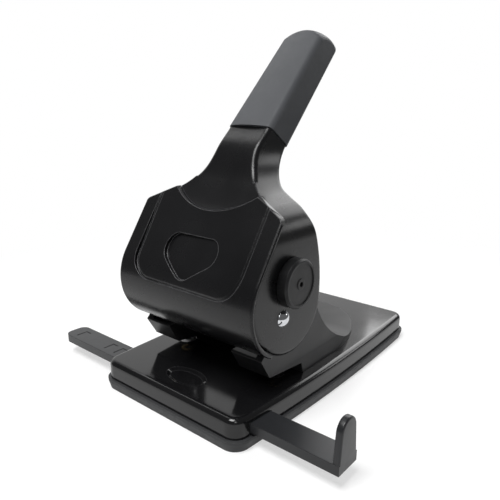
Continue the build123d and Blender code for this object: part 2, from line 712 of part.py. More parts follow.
def front_cover():
    """Shield over the lever's nose, with a grooved panel outline and a plain three-cornered recess."""
    half = LEVER_OUT + COVER_OVERHANG
    corner_z = PIVOT_Z + SHIELD_CORNER_RISE
    peak = corner_z + SHIELD_PEAK_RISE
    floor = PIVOT_Z - NOSE_RADIUS
    cover = across(nose_layer(0, COVER_THICKNESS, peak), half)
    long_edges = [
        edge
        for edge in cover.edges()
        if abs(abs(edge.center().X) - half) < SLIDE_GAP
        and (edge.center() - Vector(edge.center().X, NOSE_Y, NOSE_Z)).length > NOSE_RADIUS - SLIDE_GAP
        and edge.length > COVER_THICKNESS + SLIDE_GAP
    ]
    cover = fillet(long_edges, COVER_EDGE_RADIUS)
    left, dip, right = shield_dip(0)
    outline = make_face(
        [
            ThreePointArc(left, dip, right),
            Polyline(right, (half, corner_z), (half, floor), (-half, floor), (-half, corner_z), left),
        ]
    )
    outline = fillet(outline.vertices().sort_by(Axis.Y)[:4], COVER_CORNER)
    back = PIVOT_Y + HEEL_BACK
    cover &= through(outline, NOSE_Y - 2 * NOSE_RADIUS, back)

    # Panel groove and recess, cut to an even depth below the curved face
    groove = panel_outline(0) - panel_outline(GROOVE_WIDTH)
    skin = across(nose_layer(0, GROOVE_DEPTH, peak), half)
    cover -= through(groove, NOSE_Y - 2 * NOSE_RADIUS, back) & skin
    recess_top = PIVOT_Z + RECESS_TOP_RISE
    recess = polygon(
        (-RECESS_HALF_WIDTH, recess_top), (RECESS_HALF_WIDTH, recess_top), (0, recess_top - RECESS_HEIGHT)
    )
    recess = fillet(recess.vertices(), RECESS_ROUND)
    floor_of_recess = across(nose_layer(0, RECESS_DEPTH, peak), half)
    return cover - (through(recess, NOSE_Y - 2 * NOSE_RADIUS, back) & floor_of_recess)


def panel_outline(inset):
    """Front view of the cover's panel, open to the top, drawn in by an inset."""
    half = PANEL_HALF_WIDTH - inset
    low = PIVOT_Z + PANEL_BOTTOM_RISE + inset
    high = PIVOT_Z + SHIELD_CORNER_RISE + SHIELD_PEAK_RISE
    panel = polygon((-half, low), (half, low), (half, high), (-half, high))
    return fillet(panel.vertices().group_by(Axis.Y)[0], PANEL_CORNER - inset)


def shoulder_outline(inset):
    """Front view of the lever: walls, round shoulders and the flare into the neck."""
    wall = LEVER_OUT - inset
    neck = NECK_HALF_WIDTH - inset
    radius = NECK_FLARE_RADIUS + inset
    flare_x = NECK_HALF_WIDTH + NECK_FLARE_RADIUS
    flare_z = PIVOT_Z + NECK_FLARE_RISE
    sweep = math.radians(NECK_FLARE_SWEEP)
    low = PIVOT_Z - NOSE_RADIUS
    high = PIVOT_Z + GRIP_RISE + GRIP_THICKNESS

    def flare(angle):
        return (flare_x - radius * math.cos(angle), flare_z - radius * math.sin(angle))

    end_x, end_z = flare(sweep)
    corner_z = end_z - (wall - end_x) / math.tan(sweep)
    right = [
        Line((neck, high), (neck, flare_z)),
        ThreePointArc((neck, flare_z), flare(sweep / 2), (end_x, end_z)),
        Polyline((end_x, end_z), (wall, corner_z), (wall, low)),
    ]
    left = [mirror(edge, about=Plane.YZ) for edge in right]
    ends = [Line((-neck, high), (neck, high)), Line((-wall, low), (wall, low))]
    face = make_face(right + left + ends)
    corners = [v for v in face.vertices() if abs(v.Y - corner_z) < SLIDE_GAP]
    return fillet(corners, SHOULDER_RADIUS - inset)


def grip_plane(rise):
    """Plane across the handle, a distance up from the grip's foot; local x is X, local y points back."""
    lean = math.radians(GRIP_LEAN)
    way = Vector(0, math.sin(lean), math.cos(lean))
    y, z = from_pivot(GRIP_BACK, GRIP_RISE)
    return Plane(origin=Vector(0, y, z) + way * rise, x_dir=(1, 0, 0), z_dir=way)


def foot_plane(rise):
    """Plane of the joint between neck and grip, a distance up from it."""
    lean = math.radians(GRIP_FOOT_LEAN)
    way = Vector(0, math.sin(lean), math.cos(lean))
    y, z = from_pivot(GRIP_BACK, GRIP_RISE)
    return Plane(origin=Vector(0, y, z) + way * rise, x_dir=(1, 0, 0), z_dir=way)


def neck_foot(offset):
    """(y, z) of the front and back of the handle where the grip starts."""
    foot = math.radians(GRIP_FOOT_LEAN)
    y, z = from_pivot(GRIP_BACK, GRIP_RISE)
    reach = (GRIP_THICKNESS / 2 - offset) / math.cos(math.radians(GRIP_LEAN) - foot)
    return (
        (y - reach * math.cos(foot), z + reach * math.sin(foot)),
        (y + reach * math.cos(foot), z - reach * math.sin(foot)),
    )


def shifted(point, back):
    """A (y, z) point moved back along Y."""
    return (point[0] + back, point[1])


def leaning(degrees):
    """Unit (y, z) direction that leans back from the vertical."""
    lean = math.radians(degrees)
    return (math.sin(lean), math.cos(lean))


def neck_front():
    """Three points up the front of the neck: over the cover, half way and under the grip."""
    return from_pivot(*NECK_BREAK), from_pivot(*NECK_FRONT_BEND), neck_foot(NECK_STEP)[0]


def lever_profile(front):
    """Side view of the lever: nose, the given neck front, leaning neck back, waist, round back and heel."""
    seat = COVER_THICKNESS + COVER_GAP
    peak = PIVOT_Z + SHIELD_CORNER_RISE + SHIELD_PEAK_RISE
    front_top, back_top = neck_foot(NECK_STEP)
    waist_z = PIVOT_Z + WAIST_RISE
    waist = (back_top[0] - (back_top[1] - waist_z) * math.tan(math.radians(NECK_BACK_LEAN)), waist_z)
    heel_back = from_pivot(HEEL_BACK, HEEL_RISE)
    heel_low = from_pivot(HEEL_DROP_BACK, -HEEL_DROP)
    edges = nose_run(seat, peak) + [
        Line(shield_point(seat, peak), front @ 0),
        front,
        Polyline(front_top, back_top, waist),
        RadiusArc(waist, heel_back, BACK_RADIUS),
        ThreePointArc(heel_back, heel_low, nose_point(seat, NOSE_END_ANGLE)),
    ]
    face = make_face(edges)
    face = fillet(face.vertices().sort_by_distance(waist)[0], WAIST_RADIUS)
    return fillet(face.vertices().sort_by_distance(heel_back)[0], HEEL_RADIUS)


def neck_root(outline):
    """Root of the neck, which comes down inside the dip in the cover's top edge."""
    neck_break = from_pivot(*NECK_BREAK)
    peak = PIVOT_Z + SHIELD_CORNER_RISE + SHIELD_PEAK_RISE
    root_low = shield_point(0, PIVOT_Z + SHIELD_CORNER_RISE + SHIELD_DIP_RISE)
    side = make_face(
        [
            Spline(root_low, neck_break, tangents=(leaning(ROOT_LEAN), leaning(NECK_BREAK_LEAN))),
            Polyline(neck_break, shifted(neck_break, NECK_WALL), shifted(root_low, NECK_WALL), root_low),
        ]
    )
    left, dip, right = shield_dip(COVER_GAP)
    above = make_face(
        [ThreePointArc(left, dip, right), Polyline(right, (0, peak + SHIELD_PEAK_HALF), left)]
    )
    front_far, back_far = NOSE_Y - 2 * NOSE_RADIUS, PIVOT_Y + GRIP_RISE
    return across(side, SHIELD_PEAK_HALF) & through(above, front_far, back_far) & outline


def side_edges(solid, curves):
    """Edges of a solid that follow any of the curves of its side profile, on both hands."""

    def follows(edge, curve):
        points = [edge @ share for share in (0.0, 0.5, 1.0)]
        return all(curve.distance_to(Vertex(point.Y, point.Z, 0)) < FIT_GAP for point in points)

    return [
        edge
        for edge in solid.edges()
        if abs((edge @ 0).Z - (edge @ 1).Z) > FIT_GAP and any(follows(edge, curve) for curve in curves)
    ]


def lever_shell():
    """Lever: two side walls, rounded shoulders, hollow neck and the tang that carries the grip."""
    seat = COVER_THICKNESS + COVER_GAP
    peak = PIVOT_Z + SHIELD_CORNER_RISE + SHIELD_PEAK_RISE
    low, open_z = PIVOT_Z - NOSE_RADIUS, PIVOT_Z + BACK_OPEN_RISE
    front_far, back_far = NOSE_Y - 2 * NOSE_RADIUS, PIVOT_Y + GRIP_RISE
    front = Spline(*neck_front(), tangents=(leaning(NECK_BREAK_LEAN), leaning(GRIP_LEAN)))
    profile = lever_profile(front)
    outline = through(shoulder_outline(0), front_far, back_far)
    body = across(profile, LEVER_OUT) & outline
    foot_z = neck_foot(NECK_STEP)[1][1]
    backs = [
        edge
        for edge in profile.edges()
        if min((edge @ 0).X, (edge @ 1).X) > PIVOT_Y + HEEL_DROP_BACK
        and max((edge @ 0).Y, (edge @ 1).Y) < foot_z + FIT_GAP
    ]
    body = fillet(side_edges(body, backs + [front]), LEVER_EDGE_RADIUS)

    # Hollow, open at the front behind the cover and at the lower back over the frame
    hollow = offset(lever_profile(Polyline(*neck_front())), -NECK_WALL) - foot_cap()
    hollow += polygon((front_far, low), (back_far, low), (back_far, open_z), (front_far, open_z))
    hollow += polygon(
        (front_far, open_z),
        shifted(shield_point(seat, open_z), NECK_WALL),
        shifted(shield_point(seat, peak), NECK_WALL),
        (front_far, peak),
    )
    body -= across(hollow, LEVER_IN) & through(shoulder_outline(LEVER_WALL), front_far, back_far)
    body += neck_root(outline)

    tang = extrude(grip_plane(-TANG_ROOT) * Rectangle(TANG_WIDTH, TANG_THICKNESS), TANG_ROOT + TANG_LENGTH)
    body += tang
    body -= rod_x(PIVOT_SCREW_RADIUS + FIT_GAP, -LEVER_OUT, LEVER_OUT, PIVOT_Y, PIVOT_Z)
    knob_y, knob_z = from_pivot(KNOB_BACK, KNOB_RISE)
    return body - rod_x(LOCK_SHAFT_RADIUS + RUNNING_GAP, LEVER_IN, LEVER_OUT, knob_y, knob_z)


def foot_cap():
    """Side view of the solid end of the neck, which holds the tang's root."""
    lean = math.radians(GRIP_LEAN)
    y, z = from_pivot(GRIP_BACK, GRIP_RISE)
    base_y, base_z = y - NECK_CAP * math.sin(lean), z - NECK_CAP * math.cos(lean)
    reach_y, reach_z = GRIP_THICKNESS * math.cos(lean), GRIP_THICKNESS * math.sin(lean)
    top_y, top_z = GRIP_LENGTH * math.sin(lean), GRIP_LENGTH * math.cos(lean)
    return polygon(
        (base_y - reach_y, base_z + reach_z),
        (base_y + reach_y, base_z - reach_z),
        (base_y + reach_y + top_y, base_z - reach_z + top_z),
        (base_y - reach_y + top_y, base_z + reach_z + top_z),
    )


def grip_section(rise, sweep, width, thickness):
    """Cross-section of the grip, crowned at front and back and set back from the tang by its sweep."""
    x, y = width / 2, thickness / 2
    section = make_face(
        [
            ThreePointArc((-x, y), (0, y + GRIP_CROWN), (x, y)),
            Line((x, y), (x, -y)),
            ThreePointArc((x, -y), (0, -y - GRIP_CROWN), (-x, -y)),
            Line((-x, -y), (-x, y)),
        ]
    )
    return grip_plane(rise) * Pos(0, sweep) * section


def grip_sleeve():
    """Tapered handle sleeve with crowned faces and a domed end, socketed on the lever's tang."""
    foot = grip_section(-TANG_ROOT, 0, GRIP_WIDTH, GRIP_THICKNESS)
    end_rise = GRIP_LENGTH + GRIP_EDGE_RADIUS
    tip = grip_section(end_rise, GRIP_SWEEP, GRIP_TOP_WIDTH, GRIP_TOP_THICKNESS)
    sleeve = loft([foot, tip], ruled=True)
    way = grip_plane(0).z_dir
    along = math.cos(math.radians(GRIP_LEAN))
    long_edges = [edge for edge in sleeve.edges() if abs((edge % 0.5).dot(way)) > along]
    sleeve = fillet(long_edges, GRIP_EDGE_RADIUS)

    # Domed end, highest near the back, with a soft rim
    dome = GRIP_DOME_RATIO * math.hypot(GRIP_WIDTH, GRIP_THICKNESS)
    equator = grip_plane(GRIP_LENGTH - dome) * Pos(0, GRIP_DOME_BACK)
    ball = equator * Rot(0, 0, 90) * Sphere(dome)
    sleeve &= ball + extrude(equator * Circle(2 * dome), -2 * GRIP_LENGTH)
    rim = [
        edge
        for edge in sleeve.edges().filter_by(GeomType.BSPLINE)
        if all(abs((edge @ part - equator.position).length - dome) < FIT_GAP for part in (0, 0.5, 1))
    ]
    sleeve = fillet(rim, GRIP_TIP_RADIUS)
    sleeve = split(sleeve, bisect_by=foot_plane(GRIP_GAP), keep=Keep.TOP)
    socket = grip_plane(-TANG_ROOT) * Rectangle(TANG_WIDTH + 2 * TANG_GAP, TANG_THICKNESS + 2 * TANG_GAP)
    return sleeve - extrude(socket, TANG_ROOT + TANG_LENGTH + TANG_GAP)


def lock_knob():
    """Round knob with a bevelled rim, a shallow dish and a low hub round its centre hole."""
    knob_y, knob_z = from_pivot(KNOB_BACK, KNOB_RISE)
    back = LEVER_OUT + KNOB_GAP
    face = back + KNOB_THICKNESS
    bed = face - KNOB_DISH
    knob = rod_x(KNOB_RADIUS, back, face, knob_y, knob_z)
    knob = chamfer(knob.edges().group_by(Axis.X)[-1], KNOB_BEVEL)
    knob -= rod_x(KNOB_RADIUS - KNOB_BEVEL - KNOB_RIM, bed, face, knob_y, knob_z)
    knob += rod_x(KNOB_HUB_RADIUS, bed, bed + KNOB_HUB_RISE, knob_y, knob_z)
    return knob - rod_x(KNOB_CENTRE_RADIUS, face - KNOB_CENTRE_DEPTH, face, knob_y, knob_z)


def lock_shaft():
    """Shaft from the knob through the lever's wall to the latch."""
    knob_y, knob_z = from_pivot(KNOB_BACK, KNOB_RISE)
    inner = CHEEK_IN - LATCH_GAP - LATCH_THICKNESS
    return rod_x(LOCK_SHAFT_RADIUS, inner, LEVER_OUT + KNOB_GAP, knob_y, knob_z)


def lock_latch():
    """Finger on the lock shaft, upright while the lock is off."""
    knob_y, knob_z = from_pivot(KNOB_BACK, KNOB_RISE)
    tip_z = knob_z + LATCH_REACH
    profile = Pos(knob_y, knob_z) * Circle(LATCH_RADIUS) + Pos(knob_y, tip_z) * Circle(LATCH_TIP_RADIUS)
    profile += Pos(knob_y, (knob_z + tip_z) / 2) * Rectangle(2 * LATCH_TIP_RADIUS, LATCH_REACH)
    profile -= Pos(knob_y, knob_z) * Circle(LOCK_SHAFT_RADIUS)
    outer = CHEEK_IN - LATCH_GAP
    return between(profile, outer - LATCH_THICKNESS, outer)


NODES = {
    "chip_tray": chip_tray,
    "base_shell": base_shell,
    "guide_channel": guide_channel,
    "guide_rule": guide_rule,
    "punch_frame": punch_frame,
    "frame_screws": frame_screws,
    "pivot_axle": pivot_axle,
    "cam_cross_pins": cam_cross_pins,
    "front_cover": front_cover,
    "lever_shell": lever_shell,
    "grip_sleeve": grip_sleeve,
    "lock_knob": lock_knob,
    "lock_shaft": lock_shaft,
    "lock_latch": lock_latch,
}
HANDED = {
    "die": die,
    "pin_guide": pin_guide,
    "punch_pin": punch_pin,
    "return_spring": return_spring,
    "axle_bush": axle_bush,
    "cam": cam,
    "pivot_screw": pivot_screw,
}

os.makedirs("parts", exist_ok=True)
for name, make in NODES.items():
    export_step(make(), f"parts/{name}.step")
for name, make in HANDED.items():
    export_step(make(-1), f"parts/left_{name}.step")
    export_step(make(1), f"parts/right_{name}.step")
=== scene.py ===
import bmesh
import bpy
import math
from mathutils import Matrix, Vector

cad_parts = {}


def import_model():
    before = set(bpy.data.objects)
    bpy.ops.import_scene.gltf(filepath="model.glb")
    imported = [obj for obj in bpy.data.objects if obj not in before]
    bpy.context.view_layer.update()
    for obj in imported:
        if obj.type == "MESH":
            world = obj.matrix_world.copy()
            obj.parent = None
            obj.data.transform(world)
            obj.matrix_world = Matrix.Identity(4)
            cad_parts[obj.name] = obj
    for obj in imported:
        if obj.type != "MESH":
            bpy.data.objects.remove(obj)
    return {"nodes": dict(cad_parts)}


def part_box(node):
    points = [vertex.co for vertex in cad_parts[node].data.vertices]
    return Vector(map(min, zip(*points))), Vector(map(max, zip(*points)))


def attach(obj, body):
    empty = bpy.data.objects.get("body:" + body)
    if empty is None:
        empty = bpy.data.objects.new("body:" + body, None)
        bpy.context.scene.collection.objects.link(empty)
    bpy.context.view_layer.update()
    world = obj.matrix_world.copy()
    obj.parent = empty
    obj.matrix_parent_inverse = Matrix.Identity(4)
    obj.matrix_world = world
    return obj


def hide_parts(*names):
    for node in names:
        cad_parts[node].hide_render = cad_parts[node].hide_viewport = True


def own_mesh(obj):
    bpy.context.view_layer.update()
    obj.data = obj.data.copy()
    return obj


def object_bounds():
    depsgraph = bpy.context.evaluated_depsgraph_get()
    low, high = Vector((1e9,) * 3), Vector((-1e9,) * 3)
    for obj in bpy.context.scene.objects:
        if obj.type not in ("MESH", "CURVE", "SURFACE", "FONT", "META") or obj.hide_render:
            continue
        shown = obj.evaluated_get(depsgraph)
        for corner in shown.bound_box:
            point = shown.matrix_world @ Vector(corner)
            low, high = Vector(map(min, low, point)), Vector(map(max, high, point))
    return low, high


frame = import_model()
cad_low, cad_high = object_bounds()
nodes = frame["nodes"]

# Camera, fitted to the base's edges in the photograph: metres, degrees
PHOTO_PIXELS = 500
FOCAL_PIXELS = 529.05
SENSOR_MM = 36.0
CAMERA_PLACE = (0.2236, -0.2907, 0.1844)
CAMERA_AZIMUTH = 39.91
CAMERA_PITCH = 15.31
CAMERA_ROLL = 0.26
CAMERA_CLIP = (0.01, 50.0)

# Table top, in metres; it fades from lit white to plain white between the near and far distances
FLOOR_HALF = 0.45
FLOOR_COLOUR = (0.5, 0.5, 0.5, 1.0)
FLOOR_NEAR = 0.2
FLOOR_FAR = 0.42
FLOOR_LIFT = 0.54

# Room: soft light all round, and a white wall in reflections towards one side
WHITE = (1.0, 1.0, 1.0, 1.0)
AMBIENT = 0.09
WALL_SIDE = (-0.75, 0.66, 0.0)
WALL_DIM = 0.15
WALL_START = 0.45
WALL_END = 0.85

# Lamps: place, width and height in metres, and watts
LAMPS = {
    "key": ((0.0, -0.6, 1.3), 0.6, 0.6, 17.0),
    "left": ((-0.8, 0.22, 1.2), 0.6, 0.6, 2.6),
    "edge_wear_and_highlight": ((0.72, -0.8, 0.85), 0.25, 0.25, 1.5),
    "rim": ((-0.02, 1.0, 0.72), 0.9, 0.5, 5.0),
    "back": ((0.62, 0.92, 0.42), 0.3, 0.25, 0.8),
}

# Textures: noise as its scale per metre and its detail, depths and radii in metres
NOISE_LOW, NOISE_HIGH = 0.3, 0.7
EDGE_SAMPLES = 6
EDGE_FULL_COSINE, EDGE_NO_COSINE = 0.86, 0.995
PAINT_TONE = (18.0, 4.0)
# Noise that thins the lighter edges, which are wear and painted highlight together
PAINT_WEAR_AND_SHEEN = (160.0, 3.0)
PAINT_WEAR_AND_SHEEN_LEAST = 0.5
PAINT_GLOSS = (42.0, 5.0)
PAINT_PEEL = (1400.0, 2.0)
PAINT_PEEL_DEPTH = 0.00004
PLASTIC_TONE = (30.0, 5.0)
PLASTIC_GLOSS = (300.0, 3.0)
PLASTIC_EDGE_RADIUS = 0.0005
PLASTIC_GRAIN_DEPTH = 0.00006
METAL_LINES = (900.0, 3.0)
METAL_EDGE_RADIUS = 0.0003
METAL_LINE_DEPTH = 0.00003
FINE_GRAIN = 2600.0
GRIP_GRAIN = 1900.0
ALL_WAYS = (1.0, 1.0, 1.0)
ALONG_X = (0.05, 1.0, 1.0)

# Return springs, in metres
SPRING_WIRE = 0.0009
SPRING_WIRE_ROUNDS = 3
SPRING_TURNS = 5
SPRING_STEPS = 28
SPRING_END_EASE = 0.035

# Angle marks on the guide, in metres
MARK_X = (-0.1159, -0.0817, -0.0705)
MARK_WIDTH = 0.0009
MARK_HEIGHT = 0.00012
MARK_LEG = 0.0056
MARK_REACH = 0.0088
MARK_EDGE = 0.0049

# Guide's stop, in metres: the round of its top in the solid, and its outline as photographed
STOP_DEPTH = 0.0045
STOP_CAD_ROUND = 0.0052
STOP_ROUND = 0.0073
STOP_FOOT = 0.0086
STOP_FOOT_SLACK = 0.001
STOP_SIDE_SLACK = 1e-5
STOP_SHARP_ANGLE = 30
WELD = 1e-6

# Front cover as in the solid, in metres and degrees
NOSE_AXIS = (-0.0565, 0.074)
NOSE_RADIUS = 0.0335
SHIELD_LEAN = 33.38
PANEL_HALF = 0.0455
PANEL_LOW = 0.078
PANEL_CORNER = 0.017
GROOVE_WIDTH = 0.0018
GROOVE_DEPTH = 0.0008
RECESS_DEPTH = 0.001
NEAR = 0.00006

# Its groove and recess as photographed, in metres: deep at the left, shallow elsewhere
GROOVE_DEEP = 0.0026
GROOVE_SHALLOW = 0.00022
GROOVE_STEP = 0.00005
GROOVE_WIDENED = 0.0022
RECESS_DEEP = 0.0026
RECESS_SHALLOW = 0.0008

FINISH = {
    "lever": ("lever_shell",),
    "cover": ("front_cover",),
    "frame": ("punch_frame",),
    "base": ("base_shell",),
    "tray": ("chip_tray",),
    "guide": ("guide_rule",),
    "grip": ("grip_sleeve",),
    "knob": ("lock_knob",),
    "chrome": ("left_pivot_screw", "right_pivot_screw"),
    "brass": ("left_pin_guide", "right_pin_guide", "left_axle_bush", "right_axle_bush"),
}


def node_tree(name):
    """New node material with its tree and its main shader."""
    material = bpy.data.materials.new(name)
    material.use_nodes = True
    tree = material.node_tree
    return material, tree, tree.nodes["Principled BSDF"]


def add(tree, kind, **values):
    """New node with some of its inputs set by name."""
    node = tree.nodes.new(kind)
    for key, value in values.items():
        node.inputs[key.replace("_", " ")].default_value = value
    return node


def place(tree):
    """Coordinates in metres, in the part's own frame."""
    return tree.nodes.new("ShaderNodeTexCoord").outputs["Object"]


def noise(tree, scale, detail, stretch=None):
    """Noise value over the surface; stretch multiplies the scale along X, Y and Z."""
    source = place(tree)
    if stretch:
        mapping = add(tree, "ShaderNodeMapping", Scale=stretch)
        tree.links.new(source, mapping.inputs["Vector"])
        source = mapping.outputs["Vector"]
    node = add(tree, "ShaderNodeTexNoise", Scale=scale, Detail=detail)
    tree.links.new(source, node.inputs["Vector"])
    return node.outputs["Fac"]


def spread(tree, value, low, high, start=NOISE_LOW, end=NOISE_HIGH):
    """Value from start to end, mapped to the range from low to high."""
    node = add(tree, "ShaderNodeMapRange", From_Min=start, From_Max=end, To_Min=low, To_Max=high)
    tree.links.new(value, node.inputs["Value"])
    return node.outputs["Result"]


def two_tone(tree, value, first, second):
    """Colour between two tones by a value from 0 to 1."""
    node = tree.nodes.new("ShaderNodeMix")
    node.data_type = "RGBA"
    node.inputs["A"].default_value = (*first, 1.0)
    node.inputs["B"].default_value = (*second, 1.0)
    tree.links.new(value, node.inputs["Factor"])
    return node.outputs["Result"]


def soft_edge(tree, radius):
    """Normal with the edges rounded over a radius."""
    bevel = add(tree, "ShaderNodeBevel", Radius=radius)
    bevel.samples = EDGE_SAMPLES
    return bevel.outputs["Normal"]


def edge_mask(tree, rounded):
    """1 where a rounded normal turns away from the true one, which is on the edges, and 0 elsewhere."""
    geometry = tree.nodes.new("ShaderNodeNewGeometry")
    dot = tree.nodes.new("ShaderNodeVectorMath")
    dot.operation = "DOT_PRODUCT"
    tree.links.new(rounded, dot.inputs[0])
    tree.links.new(geometry.outputs["Normal"], dot.inputs[1])
    return spread(tree, dot.outputs["Value"], 1.0, 0.0, EDGE_FULL_COSINE, EDGE_NO_COSINE)


def bump(tree, height, strength, distance, normal):
    """Bumped normal over another normal."""
    node = add(tree, "ShaderNodeBump", Strength=strength, Distance=distance)
    tree.links.new(height, node.inputs["Height"])
    tree.links.new(normal, node.inputs["Normal"])
    return node.outputs["Normal"]


def paint(name, dark, light, edge_wear_and_highlight, rough, peel, specular, edge_radius):
    """Black paint on metal: faint tone and gloss changes, orange peel, edges a little lighter, partly from wear
    and partly as a painted highlight.
    """
    material, tree, shader = node_tree(name)
    normal = soft_edge(tree, edge_radius)
    tone = two_tone(tree, spread(tree, noise(tree, *PAINT_TONE), 0.0, 1.0), dark, light)
    # Painted highlight with some wear: the edges are mixed towards a paler colour
    wear_and_sheen = tree.nodes.new("ShaderNodeMath")
    wear_and_sheen.operation = "MULTIPLY"
    tree.links.new(edge_mask(tree, normal), wear_and_sheen.inputs[0])
    tree.links.new(spread(tree, noise(tree, *PAINT_WEAR_AND_SHEEN), PAINT_WEAR_AND_SHEEN_LEAST, 1.0), wear_and_sheen.inputs[1])
    mix = tree.nodes.new("ShaderNodeMix")
    mix.data_type = "RGBA"
    mix.inputs["B"].default_value = (*edge_wear_and_highlight, 1.0)
    tree.links.new(wear_and_sheen.outputs["Value"], mix.inputs["Factor"])
    tree.links.new(tone, mix.inputs["A"])
    tree.links.new(mix.outputs["Result"], shader.inputs["Base Color"])
    gloss = spread(tree, noise(tree, *PAINT_GLOSS), *rough)
    tree.links.new(gloss, shader.inputs["Roughness"])
    shader.inputs["Specular IOR Level"].default_value = specular
    skin = bump(tree, noise(tree, *PAINT_PEEL), peel, PAINT_PEEL_DEPTH, normal)
    tree.links.new(skin, shader.inputs["Normal"])
    return material


def plastic(name, dark, light, rough, grain_scale, grain, specular):
    """Moulded plastic with a fine spark-eroded grain."""
    material, tree, shader = node_tree(name)
    normal = soft_edge(tree, PLASTIC_EDGE_RADIUS)
    tone = two_tone(tree, spread(tree, noise(tree, *PLASTIC_TONE), 0.0, 1.0), dark, light)
    tree.links.new(tone, shader.inputs["Base Color"])
    gloss = spread(tree, noise(tree, *PLASTIC_GLOSS), *rough)
    tree.links.new(gloss, shader.inputs["Roughness"])
    shader.inputs["Specular IOR Level"].default_value = specular
    cell = add(tree, "ShaderNodeTexVoronoi", Scale=grain_scale)
    tree.links.new(place(tree), cell.inputs["Vector"])
    skin = bump(tree, cell.outputs["Distance"], grain, PLASTIC_GRAIN_DEPTH, normal)
    tree.links.new(skin, shader.inputs["Normal"])
    return material


def metal(name, dark, light, rough, stretch, scratch):
    """Bare metal with fine tool marks, drawn out along the axis with the smallest stretch."""
    material, tree, shader = node_tree(name)
    normal = soft_edge(tree, METAL_EDGE_RADIUS)
    lines = noise(tree, *METAL_LINES, stretch)
    tone = two_tone(tree, spread(tree, lines, 0.0, 1.0), dark, light)
    tree.links.new(tone, shader.inputs["Base Color"])
    tree.links.new(spread(tree, lines, *rough), shader.inputs["Roughness"])
    shader.inputs["Metallic"].default_value = 1.0
    skin = bump(tree, lines, scratch, METAL_LINE_DEPTH, normal)
    tree.links.new(skin, shader.inputs["Normal"])
    return material


def painted():
    """The black paints."""
    # The paler edge colours are painted highlights along the edges, with some wear
    black, pale_edge_highlight = (0.005, 0.005, 0.0056), (0.12, 0.12, 0.125)
    gloss_black = {"dark": black, "light": (0.008, 0.008, 0.0088), "rough": (0.22, 0.3)}
    return {
        "lever": paint(
            "lever_paint", edge_wear_and_highlight=(0.085, 0.085, 0.09), peel=0.12, specular=0.33,
            edge_radius=0.0012, **gloss_black,
        ),
        "cover": paint(
            "cover_paint", edge_wear_and_highlight=pale_edge_highlight, peel=0.12, specular=0.33,
            edge_radius=0.0009, **gloss_black,
        ),
        "frame": paint(
            "frame_paint", dark=(0.010, 0.0102, 0.011), light=(0.015, 0.0152, 0.016),
            edge_wear_and_highlight=(0.05, 0.05, 0.053), rough=(0.32, 0.42), peel=0.25, specular=0.3,
            edge_radius=0.0006,
        ),
        "base": paint(
            "base_paint", dark=black, light=(0.008, 0.008, 0.0086),
            edge_wear_and_highlight=pale_edge_highlight, rough=(0.08, 0.13), peel=0.03, specular=0.42,
            edge_radius=0.0011,
        ),
    }


def moulded():
    """The plastics."""
    return {
        "tray": plastic(
            "tray_plastic", dark=(0.035, 0.036, 0.038), light=(0.045, 0.046, 0.048),
            rough=(0.5, 0.62), grain_scale=FINE_GRAIN, grain=0.2, specular=0.4,
        ),
        "guide": plastic(
            "guide_plastic", dark=(0.017, 0.0178, 0.0195), light=(0.021, 0.0219, 0.024),
            rough=(0.28, 0.34), grain_scale=FINE_GRAIN, grain=0.04, specular=0.36,
        ),
        "grip": plastic(
            "grip_plastic", dark=(0.075, 0.078, 0.084), light=(0.09, 0.0935, 0.1005),
            rough=(0.45, 0.53), grain_scale=GRIP_GRAIN, grain=0.35, specular=0.16,
        ),
        "knob": plastic(
            "knob_plastic", dark=(0.012, 0.0122, 0.013), light=(0.017, 0.0172, 0.018),
            rough=(0.36, 0.44), grain_scale=FINE_GRAIN, grain=0.12, specular=0.25,
        ),
        # Painted shade: the marks' darker colour stands in for the shade inside grooves
        "mark": plastic(
            "groove_shade_mark", dark=(0.010, 0.010, 0.011), light=(0.014, 0.014, 0.015),
            rough=(0.6, 0.7), grain_scale=FINE_GRAIN, grain=0.1, specular=0.3,
        ),
    }


def bare():
    """The bare metals."""
    return {
        "chrome": metal(
            "chrome", dark=(0.55, 0.56, 0.58), light=(0.65, 0.66, 0.68),
            rough=(0.06, 0.12), stretch=ALL_WAYS, scratch=0.02,
        ),
        "steel": metal(
            "machined_steel", dark=(0.36, 0.36, 0.37), light=(0.52, 0.52, 0.53),
            rough=(0.24, 0.38), stretch=ALONG_X, scratch=0.1,
        ),
        "brass": metal(
            "turned_brass", dark=(0.52, 0.38, 0.16), light=(0.64, 0.48, 0.22),
            rough=(0.25, 0.36), stretch=ALONG_X, scratch=0.1,
        ),
    }


def dress(finishes):
    """Gives each node of the frame its finish; what isn't listed is machined steel."""
    chosen = {node: finish for finish, members in FINISH.items() for node in members}
    for name, node in nodes.items():
        node.data.materials.clear()
        node.data.materials.append(finishes[chosen.get(name, "steel")])


def riding_piece(mesh, material, body):
    """Object made from a mesh, in one material and riding on a body."""
    mesh.materials.clear()
    mesh.materials.append(material)
    piece = bpy.data.objects.new(mesh.name, mesh)
    bpy.context.scene.collection.objects.link(piece)
    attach(piece, body)
    return piece


def mesh_piece(name, work, material, body):
    """Object made from a finished bmesh, riding on a body."""
    mesh = bpy.data.meshes.new(name)
    work.to_mesh(mesh)
    work.free()
    return riding_piece(mesh, material, body)


